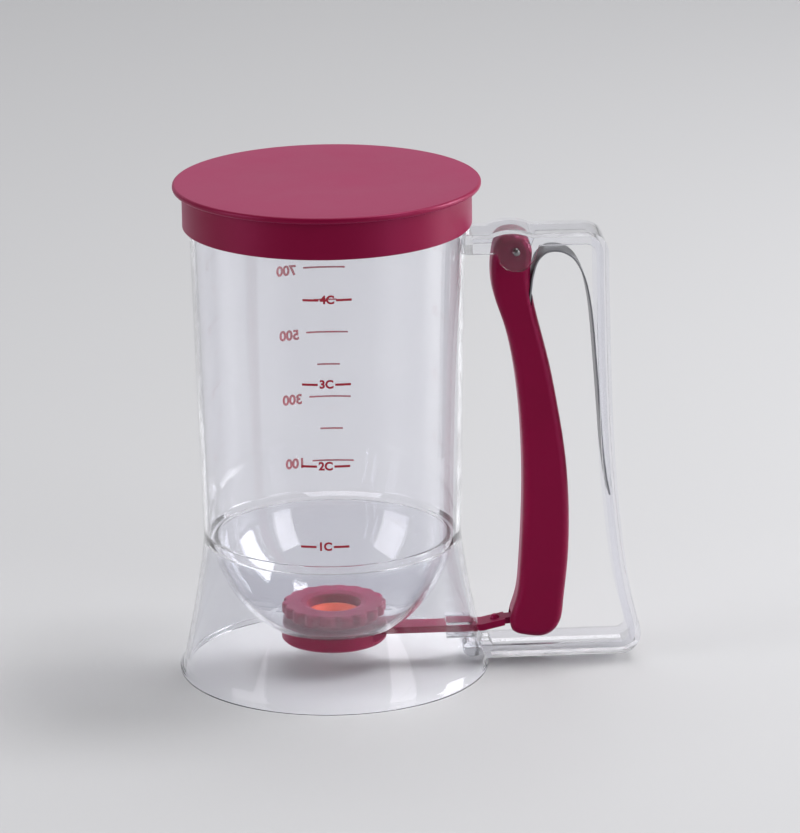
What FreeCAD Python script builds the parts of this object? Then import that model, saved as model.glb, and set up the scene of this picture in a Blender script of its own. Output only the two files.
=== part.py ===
import FreeCAD, Part
import math
import os
import Sketcher
from FreeCAD import Vector

# Pancake batter dispenser: a clear jug with a press-on lid, a squeeze trigger in a
# channel handle, and a sliding outlet plate under a round-bottomed bowl.
# Frame: +Z is up, the jug's axis is x = y = 0, the standing plane is z = 0 and the
# handle is on the +X side. All sizes are millimetres.

doc = FreeCAD.newDocument("BatterDispenser")

SIZES = [
    # Jug: drafted cylinder, bowl and skirt
    ("rim_top", 188.0, "top of the jug's rim"),
    ("neck_radius", 49.6, "outer radius where the cylinder meets the skirt"),
    ("neck_height", 54.2, "height where the cylinder meets the skirt"),
    ("rim_draft", 3.0, "how much wider the cylinder is at its rim"),
    ("skirt_flare", 10.2, "how much wider the foot bead is than the neck"),
    ("jug_wall", 2.0, "wall of the jug"),
    ("bowl_inset", 3.3, "outside of the bowl, inwards of the neck"),
    ("bowl_centre", 57.0, "height of the bowl's centre"),
    ("bowl_floor", 17.5, "underside of the bowl's flat floor"),
    ("web_gauge", 2.2, "web between bowl and skirt"),
    ("ledge_rise", 1.2, "rise of the bowl's ledge to the cylinder's wall"),
    # Handle: channel section
    ("handle_drop", 15.8, "top face of the handle, below the rim"),
    ("handle_bottom", 3.4, "under face of the handle"),
    ("handle_depth", 4.8, "depth of the channel"),
    ("handle_plate", 2.0, "plate of the channel"),
    ("handle_lip", 2.0, "thickness of each lip of the channel"),
    ("back_out", 35.1, "outer face of the back bar, beyond the pin"),
    ("corner_radius", 8.6, "outer radius of the top corner"),
    ("toe_radius", 8.0, "outer radius of the bottom corner"),
    ("arch_rise", 1.9, "rise of the arch over the trigger's head"),
    ("arch_radius", 20.0, "outer radius of that arch"),
    ("tongue_reach", 10.5, "reach of the handle's tongue inwards of the foot bead"),
    ("tongue_width", 13.2, "width of the tongue through the skirt"),
    ("tongue_height", 6.0, "height of the tongue through the skirt"),
    ("guide_reach", 16.8, "reach of the guide tunnel inwards of the foot bead"),
    # Pin
    ("pivot_out", 18.4, "pin, beyond the rim"),
    ("pivot_drop", 7.2, "pin, below the handle's top face"),
    ("pin_diameter", 2.6, "pin diameter"),
    ("pin_head", 3.4, "diameter of the pin's domed head"),
    # Trigger
    ("trigger_width", 14.0, "width of the trigger"),
    ("trigger_round", 3.2, "rounding of the trigger's edges"),
    ("trigger_wall", 3.0, "side wall of the cored back"),
    ("foot_pocket", 5.0, "length of the pocket in the trigger's foot"),
    # Spring
    ("spring_width", 12.4, "width of the leaf spring"),
    ("spring_gauge", 0.7, "thickness of the leaf spring"),
    # Slide
    ("arm_width", 9.0, "width of the slide arm"),
    ("arm_gauge", 2.6, "thickness of the slide arm"),
    ("arm_under", 12.8, "underside of the slide arm"),
    ("plate_width", 22.0, "width of the outlet plate"),
    ("plate_back", 11.0, "reach of the outlet plate behind the axis"),
    ("plate_front", 12.0, "reach of the outlet plate before the arm"),
    ("hook_ahead", 1.1, "cross bar of the arm, beyond the pin"),
    ("hook_z", 16.6, "cross bar of the arm, height"),
    ("hook_radius", 2.2, "radius of the cross bar"),
    ("bar_length", 9.6, "length of the cross bar"),
    ("neck_width", 5.6, "width of the arm's neck"),
    # Valve
    ("housing_radius", 20.3, "radius of the valve housing"),
    ("housing_under", 11.0, "underside of the valve housing"),
    ("spigot_radius", 13.4, "radius of the threaded spigot"),
    ("spigot_top", 24.4, "top of the threaded spigot"),
    ("pour_radius", 8.0, "radius of the pouring hole"),
    ("seal_radius", 10.5, "outer radius of the seal"),
    ("seal_bore", 7.0, "bore radius of the seal"),
    ("seal_top", 21.3, "top of the seal"),
    ("collar_radius", 20.2, "radius over the collar's lobes"),
    ("collar_waist", 17.8, "radius of the collar below its lobes"),
    ("collar_top", 25.6, "top of the collar"),
    ("lobe_count", 18, "number of lobes"),
    # Lid
    ("lid_rise", 5.0, "top of the lid, above the rim"),
    ("lid_gauge", 2.1, "thickness of the lid's top"),
    ("lid_depth", 16.8, "height of the lid over its skirt"),
    ("lid_wall", 1.6, "wall of the lid's skirt"),
    ("flange_out", 3.5, "reach of the lid's flange beyond its skirt"),
    # Clearances
    ("bond_gap", 0.05, "between surfaces that are bonded"),
    ("slide_gap", 0.4, "around the slide arm, each side"),
    ("trigger_gap", 0.5, "between the trigger and each lip of the handle"),
    ("pin_gap", 0.15, "around the pin, radially"),
    ("thread_gap", 0.2, "between collar and spigot, radially"),
    ("lid_gap", 0.5, "between the lid's plug and the rim, radially"),
    ("skirt_gap", 0.6, "between the lid's skirt and the rim, radially"),
    ("seal_gap", 0.1, "between the seal and what it touches"),
]

sheet = doc.addObject("Spreadsheet::Sheet", "Sizes")
for row, (name, value, note) in enumerate(SIZES, 1):
    sheet.set("A%d" % row, note)
    sheet.set("B%d" % row, str(value))
    sheet.setAlias("B%d" % row, name)
doc.recompute()


class Size:
    """A number together with the expression over the named sizes that gives it."""

    def __init__(self, value, text):
        self.value = float(value)
        self.text = text

    def __add__(self, other):
        other = size(other)
        return Size(self.value + other.value, "(%s + %s)" % (self.text, other.text))

    def __radd__(self, other):
        return size(other) + self

    def __sub__(self, other):
        other = size(other)
        return Size(self.value - other.value, "(%s - %s)" % (self.text, other.text))

    def __rsub__(self, other):
        return size(other) - self

    def __mul__(self, other):
        other = size(other)
        return Size(self.value * other.value, "(%s * %s)" % (self.text, other.text))

    def __rmul__(self, other):
        return size(other) * self

    def __truediv__(self, other):
        other = size(other)
        return Size(self.value / other.value, "(%s / %s)" % (self.text, other.text))

    def __neg__(self):
        return Size(0, "0") - self


def size(item):
    """A named size, a plain number, or a Size as it is."""
    if isinstance(item, Size):
        return item
    if isinstance(item, str):
        return S[item]
    return Size(item, "%.6g" % item)


def root(item):
    item = size(item)
    return Size(math.sqrt(item.value), "sqrt(%s)" % item.text)


S = {name: Size(sheet.get(name), "Sizes.%s" % name) for name, value, note in SIZES}

# Sizes that follow from those, so that what fits together stays together.
S["rim_radius"] = S["neck_radius"] + S["rim_draft"]
S["foot_radius"] = S["neck_radius"] + S["skirt_flare"]
S["bowl_radius"] = S["neck_radius"] - S["bowl_inset"]
S["web_under"] = S["neck_height"] - S["web_gauge"]
S["ledge_height"] = S["neck_height"] + S["ledge_rise"]
S["handle_width"] = S["trigger_width"] + 2 * (S["trigger_gap"] + S["handle_lip"])
S["handle_top"] = S["rim_top"] - S["handle_drop"]
S["pivot_x"] = S["rim_radius"] + S["pivot_out"]
S["pivot_z"] = S["handle_top"] - S["pivot_drop"]
S["back_reach"] = S["pivot_x"] + S["back_out"]
S["tongue_end"] = S["foot_radius"] - S["tongue_reach"]
S["guide_end"] = S["foot_radius"] - S["guide_reach"]
S["hook_x"] = S["pivot_x"] + S["hook_ahead"]
S["lid_top"] = S["rim_top"] + S["lid_rise"]
S["lid_bottom"] = S["lid_top"] - S["lid_depth"]
S["lid_skirt"] = S["rim_radius"] + S["skirt_gap"] + S["lid_wall"]
S["lid_flange"] = S["lid_skirt"] + S["flange_out"]


# Helpers

def new_body(name):
    return doc.addObject("PartDesign::Body", name)


def new_sketch(body, name, role):
    """An empty sketch on one of the body's own origin planes."""
    sketch = body.newObject("Sketcher::SketchObject", name)
    for feature in body.Origin.OriginFeatures:
        if feature.Role == role:
            sketch.AttachmentSupport = [(feature, "")]
    sketch.MapMode = "FlatFace"
    return sketch


def fix_point(sketch, geometry, end, point):
    """Ties one end of a piece of geometry to a place given by named sizes."""
    for kind, item in (("DistanceX", point[0]), ("DistanceY", point[1])):
        item = size(item)
        where = Sketcher.Constraint(kind, -1, 1, geometry, end, item.value)
        index = sketch.addConstraint(where)
        if "Sizes." in item.text:
            sketch.setExpression("Constraints[%d]" % index, item.text)


def flat(point):
    return Vector(size(point[0]).value, size(point[1]).value, 0)


def spline(points, start=None, end=None):
    """A smooth curve through the points, with the end directions where given."""
    curve = Part.BSplineCurve()
    if start is None:
        curve.interpolate(points)
    else:
        curve.interpolate(Points=points, InitialTangent=start, FinalTangent=end)
    return curve


def draw_chain(sketch, start, steps):
    """Draws a closed outline from a start point.

    A step is ("line", point), ("arc", point, centre, turn) with turn 1 anticlockwise
    and -1 clockwise, or ("curve", point, curve).
    """
    here = start
    ends = []
    for step in steps:
        there = step[1]
        a = flat(here)
        b = flat(there)
        if step[0] == "line":
            index = sketch.addGeometry(Part.LineSegment(a, b), False)
            ends.append((index, 1, 2, there))
        elif step[0] == "arc":
            centre = flat(step[2])
            radius = (a - centre).Length
            first = math.atan2(a.y - centre.y, a.x - centre.x)
            last = math.atan2(b.y - centre.y, b.x - centre.x)
            circle = Part.Circle(centre, Vector(0, 0, 1), radius)
            if step[3] > 0:
                index = sketch.addGeometry(Part.ArcOfCircle(circle, first, last), False)
                ends.append((index, 1, 2, there))
            else:
                index = sketch.addGeometry(Part.ArcOfCircle(circle, last, first), False)
                ends.append((index, 2, 1, there))
            fix_point(sketch, index, 3, step[2])
        else:
            index = sketch.addGeometry(step[2], False)
            ends.append((index, 1, 2, None))
        here = there
    count = len(ends)
    for i in range(count):
        index, first, last, there = ends[i]
        following = ends[(i + 1) % count]
        joint = Sketcher.Constraint("Coincident", index, last, following[0], following[1])
        sketch.addConstraint(joint)
    for i in range(count):
        index, first, last, there = ends[i]
        if there is None:
            continue
        if steps[i][0] == "arc":
            # The centre is held, so one coordinate of the end is enough.
            end = flat(there)
            middle = flat(steps[i][2])
            across = abs(end.x - middle.x) < abs(end.y - middle.y)
            item = size(there[0] if across else there[1])
            kind = "DistanceX" if across else "DistanceY"
            where = Sketcher.Constraint(kind, -1, 1, index, last, item.value)
            number = sketch.addConstraint(where)
            if "Sizes." in item.text:
                sketch.setExpression("Constraints[%d]" % number, item.text)
            continue
        fix_point(sketch, index, last, there)


def box_outline(sketch, left, right, low, high):
    corners = [(right, low), (right, high), (left, high), (left, low)]
    draw_chain(sketch, (left, low), [("line", corner) for corner in corners])


def revolve(body, sketch, name):
    feature = body.newObject("PartDesign::Revolution", name)
    feature.Profile = sketch
    feature.ReferenceAxis = (sketch, ["V_Axis"])
    feature.Angle = 360.0
    sketch.Visibility = False
    doc.recompute()
    return feature


def both_sides(feature):
    if hasattr(feature, "SideType"):
        feature.SideType = "Symmetric"
    else:
        feature.Midplane = True


def pad(body, sketch, name, length, symmetric=True):
    feature = body.newObject("PartDesign::Pad", name)
    feature.Profile = sketch
    length = size(length)
    feature.Length = length.value
    feature.setExpression("Length", length.text)
    if symmetric:
        both_sides(feature)
    doc.recompute()
    return feature


def pocket(body, sketch, name, length):
    feature = body.newObject("PartDesign::Pocket", name)
    feature.Profile = sketch
    length = size(length)
    feature.Length = length.value
    feature.setExpression("Length", length.text)
    both_sides(feature)
    doc.recompute()
    return feature


def fillet(body, feature, name, radius, test):
    """Rounds the edges of a feature for which the test holds."""
    edges = []
    for i, edge in enumerate(feature.Shape.Edges, 1):
        if test(edge):
            edges.append("Edge%d" % i)
    rounded = body.newObject("PartDesign::Fillet", name)
    rounded.Base = (feature, edges)
    radius = size(radius)
    rounded.Radius = radius.value
    if "Sizes." in radius.text:
        rounded.setExpression("Radius", radius.text)
    doc.recompute()
    return rounded


# Jug

# One outline gives the bowl, the flared skirt under it and the drafted cylinder above.
jug = new_body("jug_body")
outline = new_sketch(jug, "jug_outline", "XZ_Plane")
mid = S["bowl_centre"]
bowl_in = S["bowl_radius"] - S["jug_wall"]
hole = S["spigot_radius"] + S["thread_gap"]
floor_top = S["bowl_floor"] + S["jug_wall"]


def on_bowl(radius, height):
    return root(radius * radius - (mid - height) * (mid - height))


foot = S["foot_radius"].value
neck = S["neck_radius"].value
web = S["web_under"].value
inner_skirt = [(neck - 1.75, web), (neck - 0.65, web - 11), (foot - 8, web / 2), (foot - 4.8, 9),
               (foot - 3.2, 3.4), (foot - 2.2, 0)]
outer_skirt = [(foot, 1.4), (foot - 1.2, 3.6), (foot - 2.8, 9), (foot - 6, web / 2),
               (neck + 1.35, web - 11), (neck + 0.15, S["neck_height"].value - 2)]
inside = spline([Vector(x, z, 0) for x, z in inner_skirt])
outside = spline([Vector(x, z, 0) for x, z in outer_skirt])
draw_chain(outline, (hole, "bowl_floor"), [
    ("line", (on_bowl(S["bowl_radius"], S["bowl_floor"]), "bowl_floor")),
    ("arc", (on_bowl(S["bowl_radius"], S["web_under"]), "web_under"), (0, mid), 1),
    ("line", (S["neck_radius"] - 1.75, "web_under")),
    ("curve", inner_skirt[-1], inside),
    ("line", (S["foot_radius"] - 0.5, 0)),
    ("line", ("foot_radius", 0.5)),
    ("line", ("foot_radius", 1.4)),
    ("curve", outer_skirt[-1], outside),
    ("line", ("neck_radius", "neck_height")),
    ("line", ("rim_radius", S["rim_top"] - 0.5)),
    ("line", (S["rim_radius"] - 0.5, "rim_top")),
    ("line", (S["rim_radius"] - S["jug_wall"] + 0.5, "rim_top")),
    ("line", (S["rim_radius"] - S["jug_wall"], S["rim_top"] - 0.5)),
    ("line", (S["neck_radius"] - S["jug_wall"] + 0.05, "ledge_height")),
    ("line", (on_bowl(bowl_in, S["neck_height"]), "neck_height")),
    ("arc", (on_bowl(bowl_in, floor_top), floor_top), (0, mid), -1),
    ("line", (hole, floor_top)),
    ("line", (hole, "bowl_floor")),
])
shell = revolve(jug, outline, "jug_shell")

# Guide tunnel for the slide arm, on the inside of the skirt.
guide_low = S["arm_under"] - S["slide_gap"]
guide_high = S["arm_under"] + S["arm_gauge"] + S["slide_gap"]
guide = new_sketch(jug, "guide_outline", "XZ_Plane")
draw_chain(guide, ("guide_end", guide_low - 1.5), [
    ("line", (S["foot_radius"] - 4.2, guide_low - 1.5)),
    ("line", (S["foot_radius"] - 5.5, guide_high + 1.5)),
    ("line", ("guide_end", guide_high + 1.5)),
    ("line", ("guide_end", guide_low - 1.5)),
])
tunnel = pad(jug, guide, "guide_tunnel", S["arm_width"] + 2 * S["slide_gap"] + 3.6)
slot_side = new_sketch(jug, "arm_slot_outline", "XZ_Plane")
box_outline(slot_side, S["guide_end"] - 3, S["foot_radius"] + 3, guide_low, guide_high)
slot = pocket(jug, slot_side, "arm_slot", S["arm_width"] + 2 * S["slide_gap"])

# Window in the skirt that takes the handle's tongue.
window_side = new_sketch(jug, "tongue_window_outline", "XZ_Plane")
box_outline(window_side, S["foot_radius"] - 8.8, S["foot_radius"] + 3,
            S["handle_bottom"] - 0.1, S["handle_bottom"] + S["tongue_height"] + 0.1)
window = pocket(jug, window_side, "tongue_window", S["tongue_width"] + 0.2)
jug.Tip = window

# Handle

# The outer outline runs along the top bar, round the corner and down the back bar,
# which sweeps outwards at its foot, then back under the trigger.
top = S["handle_top"].value
low = S["handle_bottom"].value
reach = S["back_reach"].value
turn = S["corner_radius"].value
corner = Vector(reach - turn, top - turn, 0)
# The back bar ends leaning out by this much, where the toe's arc takes over.
lean = math.atan(0.2)
toe_radius = S["toe_radius"].value
toe_start = Vector(reach + 12.0, low + toe_radius * (1 + math.sin(lean)), 0)
toe_centre = Vector(toe_start.x - toe_radius * math.cos(lean), low + toe_radius, 0)
# Places on the back bar: how far it leans out, and the part of the handle's height.
back_lean = [(0.25, 0.821), (1.0, 0.637), (2.1, 0.483), (3.8, 0.351), (6.9, 0.196), (9.9, 0.108)]
back_points = [Vector(reach, top - turn, 0)]
for out, part in back_lean:
    back_points.append(Vector(reach + out, low + part * (top - low), 0))
back_points.append(toe_start)
back = spline(back_points, Vector(0, -1, 0), Vector(math.tan(lean), -1, 0))


def inset(curve, depth, count):
    """The curve moved to its right-hand side by a depth."""
    if depth == 0:
        return curve
    first = curve.FirstParameter
    last = curve.LastParameter
    points = []
    for i in range(count):
        t = first + (last - first) * i / (count - 1)
        place = curve.value(t)
        way = curve.tangent(t)[0]
        points.append(Vector(place.x + way.y * depth, place.y - way.x * depth, 0))
    return spline(points, curve.tangent(first)[0], curve.tangent(last)[0])


def handle_band(sketch, start, outer_depth, inner_depth):
    """The band between two depths under the handle's outer outline."""
    corners = []
    pieces = []
    for depth in (outer_depth, inner_depth):
        side = inset(back, depth, 13)
        under = Vector(toe_centre.x, low + depth, 0)
        over = Vector(corner.x, top - depth, 0)
        first = Vector(start, top - depth, 0)
        last = Vector(start, low + depth, 0)
        bend = Part.Circle(corner, Vector(0, 0, 1), turn - depth)
        toe = Part.Circle(toe_centre, Vector(0, 0, 1), toe_radius - depth)
        pieces += [
            Part.LineSegment(first, over),
            Part.ArcOfCircle(bend, 0, math.pi / 2),
            side,
            Part.ArcOfCircle(toe, -math.pi / 2, lean),
            Part.LineSegment(under, last),
        ]
        corners.append((first, last))
    pieces.append(Part.LineSegment(corners[0][0], corners[1][0]))
    pieces.append(Part.LineSegment(corners[0][1], corners[1][1]))
    for piece in pieces:
        sketch.addGeometry(piece, False)


# Both roots are drawn into the jug and trimmed to its outside further on.
root_start = S["rim_radius"] - 2.6
handle = new_body("handle_channel")
band_outline = new_sketch(handle, "band_outline", "XZ_Plane")
handle_band(band_outline, root_start.value, 0.0, S["handle_depth"].value)
band = pad(handle, band_outline, "band", "handle_width")

# Ears that carry the pin, with the deeper root towards the jug and a gusset behind.
ear_outline = new_sketch(handle, "ear_outline", "XZ_Plane")
eye = ("pivot_x", "pivot_z")
ear_radius = 7.6
draw_chain(ear_outline, (root_start, S["handle_top"] - 1.0), [
    ("line", (root_start, S["pivot_z"] - 0.4)),
    ("line", (S["pivot_x"] - ear_radius, S["pivot_z"] - 0.4)),
    ("line", (S["pivot_x"] - 6.4, S["pivot_z"] - 4.1)),
    ("line", (S["pivot_x"] - 4.1, S["pivot_z"] - 6.6)),
    ("line", (S["pivot_x"] - 1.3, S["pivot_z"] - 7.6)),
    ("line", (S["pivot_x"] + 1.7, S["pivot_z"] - 7.5)),
    ("line", (S["pivot_x"] + 4.4, S["pivot_z"] - 6.2)),
    ("line", (S["pivot_x"] + 6.4, S["pivot_z"] - 3.6)),
    ("line", (S["pivot_x"] + 9.0, S["handle_top"] - 4.0)),
    ("line", (S["pivot_x"] + 9.6, S["handle_top"] - 1.0)),
    ("line", (root_start, S["handle_top"] - 1.0)),
])
ears = pad(handle, ear_outline, "ears", "handle_width")

# Arch over the trigger's head, sunk a little into the plate below it.


def half_chord(radius, height):
    """Half the width of a circle at a height above its centre."""
    return root(radius * radius - height * height)


arch_sink = S["handle_plate"] / 2
arch_height = S["arch_radius"] - S["arch_rise"]
arch_centre = (S["pivot_x"] - 2.0, S["handle_top"] - arch_height)
arch_half = half_chord(S["arch_radius"], arch_height - arch_sink)
arch_outline = new_sketch(handle, "arch_outline", "XZ_Plane")
draw_chain(arch_outline, (arch_centre[0] - arch_half, S["handle_top"] - arch_sink), [
    ("line", (arch_centre[0] + arch_half, S["handle_top"] - arch_sink)),
    ("arc", (arch_centre[0] - arch_half, S["handle_top"] - arch_sink), arch_centre, 1),
])
arch = pad(handle, arch_outline, "arch", "handle_width")

# The channel's hollow leaves the plate outside and a lip along each edge.
hollow_outline = new_sketch(handle, "hollow_outline", "XZ_Plane")
handle_band(hollow_outline, root_start.value - 2, S["handle_plate"].value,
            S["handle_depth"].value + 0.5)
gap_width = S["handle_width"] - 2 * S["handle_lip"]
hollow = pocket(handle, hollow_outline, "channel_hollow", gap_width)
fork_outline = new_sketch(handle, "fork_outline", "XZ_Plane")
box_outline(fork_outline, root_start - 2, S["pivot_x"] + 14, S["pivot_z"] - 12,
            S["handle_top"] - S["handle_plate"])
fork = pocket(handle, fork_outline, "fork_hollow", gap_width)
vault_outline = new_sketch(handle, "vault_outline", "XZ_Plane")
vault_low = arch_height - S["handle_plate"] - arch_sink
vault_half = half_chord(S["arch_radius"] - S["handle_plate"], vault_low)
vault_base = arch_centre[1] + vault_low
draw_chain(vault_outline, (arch_centre[0] - vault_half, vault_base), [
    ("line", (arch_centre[0] + vault_half, vault_base)),
    ("arc", (arch_centre[0] - vault_half, vault_base), arch_centre, 1),
])
vault = pocket(handle, vault_outline, "arch_hollow", gap_width)

# End wall of the top bar, against the jug.
wall_outline = new_sketch(handle, "root_wall_outline", "XZ_Plane")
box_outline(wall_outline, root_start, S["rim_radius"] + 1.9, S["pivot_z"] - 0.4,
            S["handle_top"] - 1.0)
root_wall = pad(handle, wall_outline, "root_wall", "handle_width")

# Hole for the pin.
eye_outline = new_sketch(handle, "pin_hole_outline", "XZ_Plane")
circle = Part.Circle(flat(eye), Vector(0, 0, 1), S["pin_diameter"].value / 2)
eye_index = eye_outline.addGeometry(circle, False)
fix_point(eye_outline, eye_index, 3, eye)
eye_size = Sketcher.Constraint("Diameter", eye_index, S["pin_diameter"].value + 0.1)
eye_number = eye_outline.addConstraint(eye_size)
eye_outline.setExpression("Constraints[%d]" % eye_number, "Sizes.pin_diameter + 0.1")
eye_hole = pocket(handle, eye_outline, "pin_hole", S["handle_width"] + 4)
handle.Tip = eye_hole
doc.recompute()

# The jug's outside, with the bond's gap, is taken off the handle's roots.
fit = new_body("jug_clearance")
fit_outline = new_sketch(fit, "clearance_outline", "XZ_Plane")
gap = S["bond_gap"]
draw_chain(fit_outline, (0, 20.0), [
    ("line", (S["neck_radius"] + gap, 20.0)),
    ("line", (S["neck_radius"] + gap, "neck_height")),
    ("line", (S["rim_radius"] + gap, S["rim_top"] - 0.5)),
    ("line", (0, S["rim_top"] - 0.5)),
    ("line", (0, 20.0)),
])
fit_solid = revolve(fit, fit_outline, "clearance_solid")
fit_skirt = new_body("skirt_clearance")
skirt_outline = new_sketch(fit_skirt, "skirt_clearance_outline", "XZ_Plane")
skirt_edge = inset(outside, gap.value, 9)
skirt_pieces = [
    Part.LineSegment(Vector(0, -2, 0), Vector(foot + gap.value, -2, 0)),
    Part.LineSegment(Vector(foot + gap.value, -2, 0), skirt_edge.StartPoint),
    skirt_edge,
    Part.LineSegment(skirt_edge.EndPoint, Vector(0, skirt_edge.EndPoint.y, 0)),
    Part.LineSegment(Vector(0, skirt_edge.EndPoint.y, 0), Vector(0, -2, 0)),
]
for piece in skirt_pieces:
    skirt_outline.addGeometry(piece, False)
skirt_solid = revolve(fit_skirt, skirt_outline, "skirt_clearance_solid")
upper_trim = doc.addObject("Part::Cut", "upper_trim")
upper_trim.Base = handle
upper_trim.Tool = fit
lower_trim = doc.addObject("Part::Cut", "lower_trim")
lower_trim.Base = upper_trim
lower_trim.Tool = fit_skirt

# Tongue through the skirt's window, rounded at its end.
tongue = new_body("handle_tongue")
tongue_outline = new_sketch(tongue, "tongue_outline", "XZ_Plane")
tongue_top = S["handle_bottom"] + S["tongue_height"]
tongue_mid = S["handle_bottom"] + S["tongue_height"] / 2
draw_chain(tongue_outline, (S["tongue_end"] + S["tongue_height"] / 2, "handle_bottom"), [
    ("line", (S["foot_radius"] + 1.2, "handle_bottom")),
    ("line", (S["foot_radius"] + 1.2, tongue_top - 1.4)),
    ("line", (S["foot_radius"] - 0.2, tongue_top)),
    ("line", (S["tongue_end"] + S["tongue_height"] / 2, tongue_top)),
    ("arc", (S["tongue_end"] + S["tongue_height"] / 2, "handle_bottom"),
     (S["tongue_end"] + S["tongue_height"] / 2, tongue_mid), 1),
])
tongue_pad = pad(tongue, tongue_outline, "tongue_block", "tongue_width")
frame = doc.addObject("Part::Fuse", "handle_frame")
frame.Base = lower_trim
frame.Tool = tongue
doc.recompute()

# Pin

pin = doc.addObject("Part::Cylinder", "pin_shank")
pin.setExpression("Radius", "Sizes.pin_diameter / 2")
pin.setExpression("Height", (S["handle_width"] + 0.9).text)
dome = doc.addObject("Part::Sphere", "pin_dome")
dome.setExpression("Radius", "Sizes.pin_head * 0.7")
dome.setExpression("Placement.Base.z", "-0.48 * Sizes.pin_head")
dome_cut = doc.addObject("Part::Cylinder", "pin_dome_limit")
dome_cut.setExpression("Radius", "Sizes.pin_head / 2")
dome_cut.Height = 4.0
dome_cap = doc.addObject("Part::Common", "pin_cap")
dome_cap.Base = dome
dome_cap.Tool = dome_cut
near_cap = doc.addObject("Part::Feature", "pin_near_cap")
doc.recompute()
near_shape = dome_cap.Shape.copy()
near_shape.translate(Vector(0, 0, S["handle_width"].value / 2 + 0.05))
near_cap.Shape = near_shape
shank_end = Vector(0, 0, -(S["handle_width"].value + 0.9) / 2)
pin.Placement = FreeCAD.Placement(shank_end, FreeCAD.Rotation())
pivot = doc.addObject("Part::Fuse", "pivot_pin")
pivot.Base = pin
pivot.Tool = near_cap
pivot.Placement = FreeCAD.Placement(Vector(S["pivot_x"].value, 0, S["pivot_z"].value),
                                    FreeCAD.Rotation(Vector(1, 0, 0), 90))
pivot.setExpression("Placement.Base.x", S["pivot_x"].text)
pivot.setExpression("Placement.Base.z", S["pivot_z"].text)
doc.recompute()

# Trigger

px = S["pivot_x"].value
pz = S["pivot_z"].value
HEAD_DROP = 20.0
FOOT_DROP = 140.0
BAR_DROP = 148.4


def lever_place(out, drop):
    """A place on the lever, beyond the pin and below it as the lever is drawn.

    The head keeps its shape at the pin and the foot at the cross bar, and what lies
    between them stretches with their distance.
    """
    head_low = pz - HEAD_DROP
    foot_high = S["hook_z"].value + BAR_DROP - FOOT_DROP
    if drop <= HEAD_DROP:
        height = pz - drop
    elif drop >= FOOT_DROP:
        height = foot_high + FOOT_DROP - drop
    else:
        share = (drop - HEAD_DROP) / (FOOT_DROP - HEAD_DROP)
        height = head_low + share * (foot_high - head_low)
    return Vector(px + out, height, 0)


lever = new_body("trigger")
side = new_sketch(lever, "trigger_outline", "XZ_Plane")
side_places = [
    (-3.4, -6.1), (-7.0, -4.0), (-8.9, 2.0), (-9.3, 10.5), (-8.2, 18.0), (-4.9, 28.2),
    (-1.9, 40.0), (0.4, 55.0), (1.9, 74.0), (2.3, 93.0), (1.8, 111.0), (0.8, 128.0),
    (-1.0, 140.5), (-3.0, 148.3), (-1.9, 152.6), (3.2, 154.5), (11.2, 154.5), (15.4, 151.0),
    (17.6, 142.0), (19.3, 126.0), (20.0, 109.0), (19.6, 93.0), (18.1, 77.0), (15.6, 61.0),
    (12.6, 45.0), (9.3, 31.5), (6.7, 20.2), (5.7, 13.0), (5.8, 6.0), (6.2, 0.5),
    (4.6, -3.8), (1.2, -5.9),
]
loop = Part.BSplineCurve()
loop.interpolate(Points=[lever_place(out, drop) for out, drop in side_places], PeriodicFlag=True)
side.addGeometry(loop, False)
lever_block = pad(lever, side, "trigger_block", "trigger_width")


def face_rim(edge):
    box = edge.BoundBox
    half = S["trigger_width"].value / 2
    return box.YLength < 0.01 and abs(abs(box.YMin) - half) < 0.01


lever_round = fillet(lever, lever_block, "trigger_rounds", "trigger_round", face_rim)

# The back is cored out between solid ends, as a moulded lever is.
core = new_sketch(lever, "core_outline", "XZ_Plane")
core_places = [(4.6, 132.0), (5.4, 111.0), (5.6, 91.0), (5.0, 71.0), (3.6, 53.0), (2.2, 41.0)]
core_curve = spline([lever_place(out, drop) for out, drop in core_places])
core_high = lever_place(26.0, 39.0)
core_low = lever_place(26.0, 134.0)
core_pieces = [
    core_curve,
    Part.LineSegment(core_curve.EndPoint, core_high),
    Part.LineSegment(core_high, core_low),
    Part.LineSegment(core_low, core_curve.StartPoint),
]
for piece in core_pieces:
    core.addGeometry(piece, False)
core_cut = pocket(lever, core, "cored_back", S["trigger_width"] - 2 * S["trigger_wall"])

# Pocket and slot in the foot for the cross bar and the neck of the arm.
foot_room = new_sketch(lever, "foot_pocket_outline", "XZ_Plane")
box_outline(foot_room, S["hook_x"] - S["foot_pocket"] / 2, S["hook_x"] + S["foot_pocket"] / 2,
            S["hook_z"] - 10.6, S["hook_z"] + S["hook_radius"] + 1.3)
foot_cut = pocket(lever, foot_room, "foot_pocket", S["bar_length"] + 1.2)
neck_room = new_sketch(lever, "neck_slot_outline", "XZ_Plane")
box_outline(neck_room, S["hook_x"] - 14, S["hook_x"], S["hook_z"] - 10.6, S["hook_z"] + 2.7)
neck_cut = pocket(lever, neck_room, "neck_slot", S["neck_width"] + 2 * S["slide_gap"])

# Seat for the short leg of the spring.
seat = new_sketch(lever, "spring_seat_outline", "XZ_Plane")
seat_places = [(4.0, 22.4), (5.0, 15.5), (5.5, 11.5), (9.0, 11.5), (6.9, 15.5), (5.7, 22.4)]
seat_corners = [lever_place(out, drop) for out, drop in seat_places]
for i, corner_place in enumerate(seat_corners):
    seat.addGeometry(Part.LineSegment(corner_place, seat_corners[i - 1]), False)
seat_cut = pocket(lever, seat, "spring_seat", S["spring_width"] + 0.4)

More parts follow.
